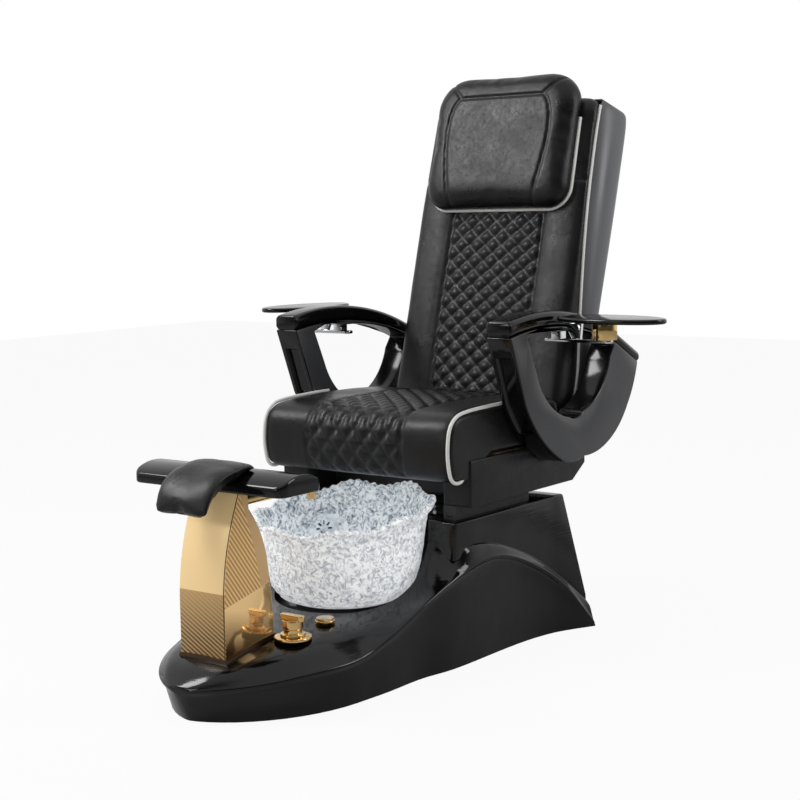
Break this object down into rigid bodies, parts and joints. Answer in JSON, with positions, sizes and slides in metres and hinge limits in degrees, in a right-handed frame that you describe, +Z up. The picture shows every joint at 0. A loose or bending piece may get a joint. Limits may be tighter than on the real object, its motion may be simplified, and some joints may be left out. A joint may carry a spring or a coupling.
{
  "type": "pedicure spa chair",
  "caption": "Black quilted spa chair with a glass foot bowl, gold footrest column, oval swivel trays and a reclining back on a moulded base.",
  "frame": {"origin": "on the floor, on the centre line, 19 mm behind the middle of the moulded base's length", "axes": "+X to the sitter's left, seen as image right in the picture, +Y from the toes to the back, +Z up"},
  "size_m": [1.2536, 1.5206, 1.4142],
  "materials": {
    "black_gloss": "black high gloss moulding",
    "leatherette_black": "black leatherette, fine grain, satin",
    "leatherette_piping": "off-white sewn piping",
    "arm_grey": "dark grey satin lacquer",
    "back_grey": "dark grey moulded back cover",
    "mirror_gold": "polished gold plate",
    "bronze_trim": "brown bronze trim",
    "bowl_glass": "clear hand-crackled glass",
    "chrome_parts": "polished chrome",
    "button_plastic": "silvery push button",
    "impeller_plastic": "bluish plastic",
    "steel_painted": "black powder coat",
    "steel_bright": "bright steel",
    "pan_plastic": "moulded floor pan",
    "motor_metal": "dark grey gearmotor and carriage",
    "pipe_plastic": "grey waste pipe",
    "valve_brass": "cast brass",
    "gasket_rubber": "black rubber",
    "board_wood": "plywood"
  },
  "bodies": {
    "base": {"base_shell": "black_gloss", "floor_pan": "pan_plastic", "base_frame": "steel_painted", "rear_access_panel": "black_gloss", "panel_screws": "steel_bright", "glass_bowl": "bowl_glass", "bowl_gasket": "gasket_rubber", "drain_fitting": "chrome_parts", "drain_pipe": "pipe_plastic", "drain_pump": "pan_plastic", "drain_outlet": "pipe_plastic", "jet_cover": "chrome_parts", "jet_motor": "pan_plastic", "control_box": "pan_plastic", "power_inlet": "pan_plastic", "mixer_valve": "valve_brass", "supply_pipes": "valve_brass", "spout_pipe": "steel_bright", "water_spout": "mirror_gold", "column_shell": "mirror_gold", "column_foot_trim": "bronze_trim", "lift_mast": "steel_bright", "knob_escutcheon": "mirror_gold", "button_bezel": "mirror_gold", "slide_rails": "steel_painted", "slide_motor": "motor_metal"},
    "seat": {"seat_carriage": "steel_painted", "seat_frame": "steel_painted", "recline_pins": "steel_bright", "seat_board": "board_wood", "seat_box": "leatherette_black", "seat_cushion": "leatherette_black", "seat_piping": "leatherette_piping", "arm_bolts": "steel_bright", "arm_body_left": "arm_grey", "arm_body_right": "arm_grey", "arm_bar_left": "black_gloss", "arm_bar_right": "black_gloss", "arm_insert_left": "black_gloss", "arm_insert_right": "black_gloss", "tray_bracket_left": "chrome_parts", "tray_bracket_right": "chrome_parts", "tray_post_left": "mirror_gold", "tray_post_right": "mirror_gold"},
    "backrest": {"back_frame": "steel_painted", "back_cushion": "leatherette_black", "back_piping": "leatherette_piping", "back_shell": "back_grey", "massage_rails": "steel_bright", "head_pillow": "leatherette_black", "pillow_piping": "leatherette_piping"},
    "massage_carriage": {"massage_carriage": "motor_metal"},
    "footrest": {"footrest_post": "steel_bright", "footrest_bar": "black_gloss", "saddle_pad": "leatherette_black"},
    "jet_impeller": {"jet_impeller": "impeller_plastic"},
    "mixer_knob": {"mixer_knob": "mirror_gold"},
    "pump_button": {"pump_button": "button_plastic"},
    "tray_left": {"tray_left": "black_gloss"},
    "tray_right": {"tray_right": "black_gloss"}
  },
  "joints": [
    {"name": "seat_slide", "type": "slide", "parent": "base", "child": "seat", "axis": [0, 1, 0], "range_m": [0, 0.12]},
    {"name": "backrest_recline", "type": "hinge", "parent": "seat", "child": "backrest", "pos_m": [0, 0.56, 0.47], "axis": [-1, 0, 0], "range_deg": [0, 35]},
    {"name": "massage_travel", "type": "slide", "parent": "backrest", "child": "massage_carriage", "axis": [0, 0.2706, 0.9627], "range_m": [0, 0.26]},
    {"name": "tray_left_swing", "type": "hinge", "parent": "seat", "child": "tray_left", "pos_m": [0.464, 0.38, 0.799], "axis": [0, 0, 1], "range_deg": [0, 110]},
    {"name": "tray_right_swing", "type": "hinge", "parent": "seat", "child": "tray_right", "pos_m": [-0.464, 0.38, 0.799], "axis": [0, 0, 1], "range_deg": [0, 105]},
    {"name": "footrest_lift", "type": "slide", "parent": "base", "child": "footrest", "axis": [0, 0, 1], "range_m": [0, 0.08]},
    {"name": "jet_spin", "type": "hinge", "parent": "base", "child": "jet_impeller", "pos_m": [-0.14078, 0.04997, 0.296], "axis": [-0.848, 0.5299, 0], "continuous": true},
    {"name": "mixer_turn", "type": "hinge", "parent": "base", "child": "mixer_knob", "pos_m": [0.115, -0.365, 0.147], "axis": [0, 0, 1], "range_deg": [0, 90]},
    {"name": "pump_press", "type": "slide", "parent": "base", "child": "pump_button", "axis": [0, 0, -1], "range_m": [0, 0.003], "stiffness_N_per_m": 600, "springref_m": -0.002}
  ]
}
